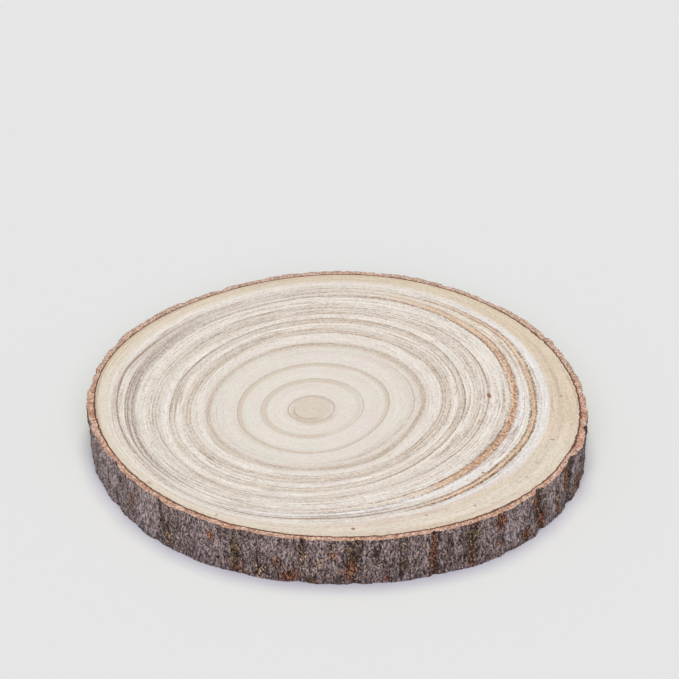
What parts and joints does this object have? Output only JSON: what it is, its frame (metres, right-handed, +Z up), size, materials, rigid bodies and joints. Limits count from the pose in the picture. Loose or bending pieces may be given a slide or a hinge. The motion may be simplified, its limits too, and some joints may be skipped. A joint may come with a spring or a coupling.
{
  "type": "wood slice",
  "caption": "Round slice sawn across a tree trunk, flat on both faces, with growth rings and furrowed natural bark round its edge.",
  "frame": {"origin": "middle of the slice's outline, on the flat lower face that it rests on", "axes": "+Z up, through the slice's thickness; +Y away from the front edge of the picture; +X to the picture's right"},
  "size_m": [0.2556, 0.2552, 0.0254],
  "materials": {
    "sawn_wood": "dry sawn end grain, pale cream with tan growth rings, unfinished",
    "bark": "rough natural bark, grey-brown with orange-brown and mossy furrows"
  },
  "bodies": {
    "root": {"wood_slice": "sawn_wood"}
  },
  "joints": []
}
